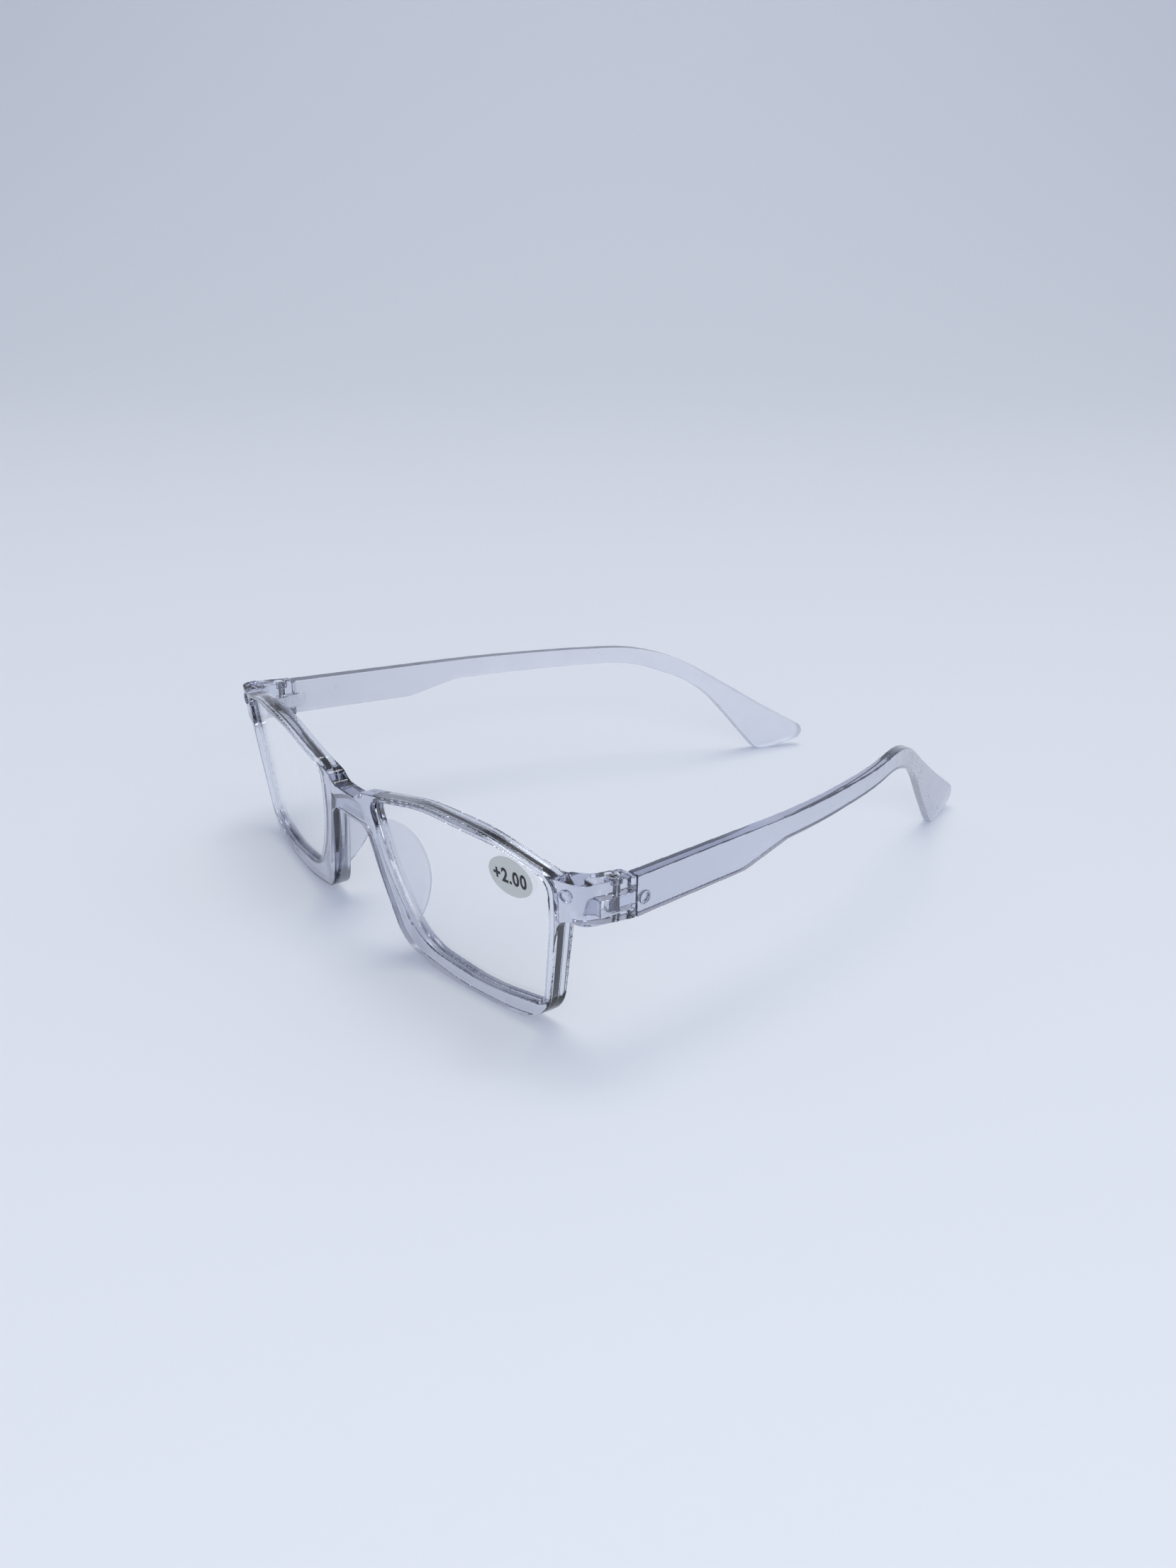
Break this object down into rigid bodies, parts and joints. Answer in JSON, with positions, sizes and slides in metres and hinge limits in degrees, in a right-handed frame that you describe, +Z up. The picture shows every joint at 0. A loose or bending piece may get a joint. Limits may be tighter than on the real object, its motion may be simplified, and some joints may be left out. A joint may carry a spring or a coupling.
{
  "type": "eyeglasses",
  "caption": "Clear moulded reading glasses with a rounded rectangular full-rim front, lenses in grooves, fin nose pads and temples that fold on screw hinges.",
  "frame": {"origin": "bottom centre of the whole object, open, standing on its lower rims and temple tips", "axes": "+X the wearer's left, +Y from the front back to the temple tips, +Z up"},
  "size_m": [0.1416, 0.161, 0.0397],
  "materials": {
    "frame_plastic": "polished clear",
    "temple_plastic": "clear, satin inside",
    "lens": "polished clear optical plastic",
    "label": "thin printed film",
    "screw_steel": "turned",
    "stud": "polished"
  },
  "bodies": {
    "front": {"front_frame": "frame_plastic", "lens_left": "lens", "lens_right": "lens", "power_label": "label", "hinge_screw_left": "screw_steel", "hinge_screw_right": "screw_steel", "front_stud_left": "stud", "front_stud_right": "stud"},
    "left_temple": {"temple_left": "temple_plastic", "temple_stud_left": "stud"},
    "right_temple": {"temple_right": "temple_plastic", "temple_stud_right": "stud"}
  },
  "joints": [
    {"name": "temple_left_fold", "type": "hinge", "parent": "front", "child": "left_temple", "pos_m": [0.068, -0.06159, 0.0303], "axis": [0, 0, 1], "range_deg": [0, 75]},
    {"name": "temple_right_fold", "type": "hinge", "parent": "front", "child": "right_temple", "pos_m": [-0.068, -0.06159, 0.0303], "axis": [0, 0, -1], "range_deg": [0, 68]}
  ]
}
